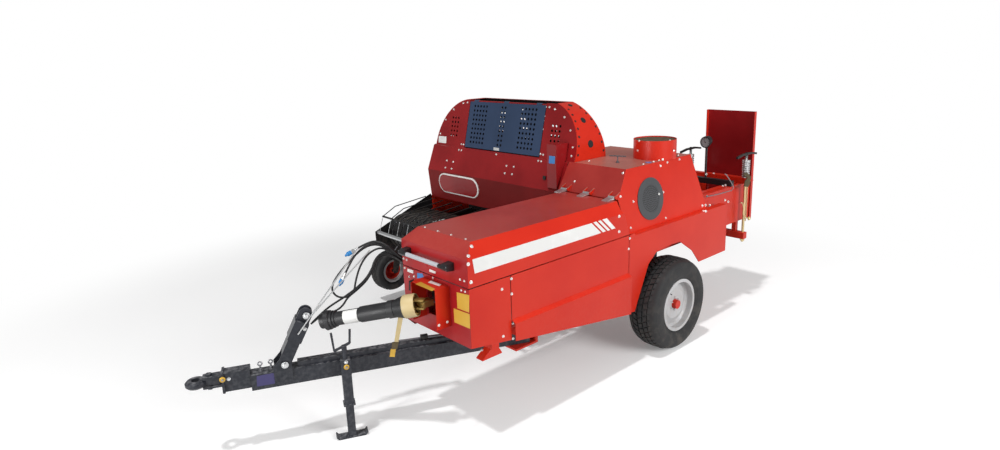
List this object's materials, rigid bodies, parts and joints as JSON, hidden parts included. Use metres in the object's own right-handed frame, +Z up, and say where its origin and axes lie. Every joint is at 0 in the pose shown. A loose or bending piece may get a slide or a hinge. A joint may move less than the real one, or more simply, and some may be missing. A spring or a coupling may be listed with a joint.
{
  "type": "square baler",
  "caption": "Towed square baler with side pickup, perforated feeder hood, plunger lid, folding bale chute, swinging tongue, driveline and parking jack.",
  "frame": {"origin": "on the ground under the middle of the whole machine, as parked on its wheels and tongue jack", "axes": "+X is the way the machine is towed, +Y its left side, +Z up"},
  "size_m": [4.8611, 2.787, 1.945],
  "materials": {
    "black_plastic": "matte",
    "casting": "matte",
    "coupler_alloy": "satin",
    "grey_paint": "satin",
    "hose_rubber": "matte",
    "red_paint": "gloss",
    "silver_paint": "satin",
    "slate_paint": "satin",
    "steel": "satin",
    "tyre_rubber": "matte",
    "zinc": "satin"
  },
  "bodies": {
    "frame": {"axle_beam": "grey_paint", "main_frame": "red_paint", "bale_chamber": "red_paint", "tension_rails": "red_paint", "tension_frame": "red_paint", "tension_screws": "zinc", "front_side_sheet": "red_paint", "side_guard": "red_paint", "arch_sheet": "red_paint", "front_cover": "red_paint", "pto_guard": "red_paint", "gearbox": "casting", "knotter_housing": "red_paint", "side_grille": "black_plastic", "fan_cowl": "red_paint", "feeder_floor": "red_paint", "feeder_front": "red_paint", "feeder_end": "red_paint", "hood_band": "red_paint", "hood_front_sheet": "red_paint", "pressure_gauge": "black_plastic", "hydraulic_hoses": "hose_rubber", "hose_couplers": "coupler_alloy", "hose_bulkhead": "zinc", "chute_chain": "zinc"},
    "lid": {"plunger_lid": "red_paint", "lid_handle": "black_plastic", "lid_hinges": "zinc"},
    "door": {"hood_door": "slate_paint"},
    "chute": {"bale_chute": "red_paint"},
    "left_wheel": {"left_tyre": "tyre_rubber", "left_rim": "silver_paint", "left_hub": "red_paint"},
    "right_wheel": {"right_tyre": "tyre_rubber", "right_rim": "silver_paint", "right_hub": "red_paint"},
    "pickup": {"pickup_frame": "grey_paint", "strippers": "grey_paint", "windguard": "zinc", "gauge_arm": "grey_paint"},
    "reel": {"pickup_reel": "steel"},
    "gauge_wheel": {"gauge_tyre": "tyre_rubber", "gauge_rim": "red_paint"},
    "tongue": {"tongue_beam": "grey_paint", "front_box": "grey_paint", "towing_eye": "grey_paint", "tongue_arm": "grey_paint", "jack_tube": "grey_paint", "jack_crank": "grey_paint", "hose_stays": "zinc"},
    "jack": {"jack_leg": "grey_paint"},
    "driveline": {"driveline_outer": "black_plastic", "driveline_yoke": "casting"},
    "driveline_tube": {"driveline_inner": "black_plastic"}
  },
  "joints": [
    {"name": "left_wheel_spin", "type": "hinge", "parent": "frame", "child": "left_wheel", "pos_m": [-0.8905, 1.262, 0.372], "axis": [0, 1, 0], "continuous": true},
    {"name": "right_wheel_spin", "type": "hinge", "parent": "frame", "child": "right_wheel", "pos_m": [-0.8905, -1, 0.372], "axis": [0, 1, 0], "continuous": true},
    {"name": "pickup_lift", "type": "hinge", "parent": "frame", "child": "pickup", "pos_m": [-0.3605, -0.338, 0.8], "axis": [0, 1, 0], "range_deg": [0, 13]},
    {"name": "reel_spin", "type": "hinge", "parent": "pickup", "child": "reel", "pos_m": [-0.0305, -0.338, 0.7], "axis": [0, 1, 0], "continuous": true},
    {"name": "gauge_wheel_spin", "type": "hinge", "parent": "pickup", "child": "gauge_wheel", "pos_m": [0.0685, -1.318, 0.289], "axis": [0, 1, 0], "continuous": true},
    {"name": "lid_hinge", "type": "hinge", "parent": "frame", "child": "lid", "pos_m": [-0.3385, 0.925, 1.308], "axis": [0, -1, 0], "range_deg": [0, 55]},
    {"name": "door_hinge", "type": "hinge", "parent": "frame", "child": "door", "pos_m": [-0.60277, -0.253, 1.925], "axis": [0, -1, 0], "range_deg": [0, 80]},
    {"name": "chute_hinge", "type": "hinge", "parent": "frame", "child": "chute", "pos_m": [-2.4105, 0.908, 0.742], "axis": [0, -1, 0], "range_deg": [0, 95]},
    {"name": "tongue_swing", "type": "hinge", "parent": "frame", "child": "tongue", "pos_m": [0.4895, 0.966, 0.45], "axis": [0, 0, 1], "range_deg": [0, 24]},
    {"name": "jack_slide", "type": "slide", "parent": "tongue", "child": "jack", "axis": [0, 0, 1], "range_m": [0, 0.18]},
    {"name": "driveline_yaw", "type": "hinge", "parent": "frame", "child": "driveline", "pos_m": [1.2595, 0.952, 0.9], "axis": [0, 0, 1], "range_deg": [0, 51.8]},
    {"name": "driveline_slide", "type": "slide", "parent": "driveline", "child": "driveline_tube", "axis": [-0.6269, 0.754, 0.1964], "range_m": [0, 0.134]}
  ],
  "couplings": [
    {"joint": "driveline_yaw", "follows": "tongue_swing", "ratio": 2.1551},
    {"joint": "driveline_slide", "follows": "tongue_swing", "m_per_rad": 0.31839}
  ]
}
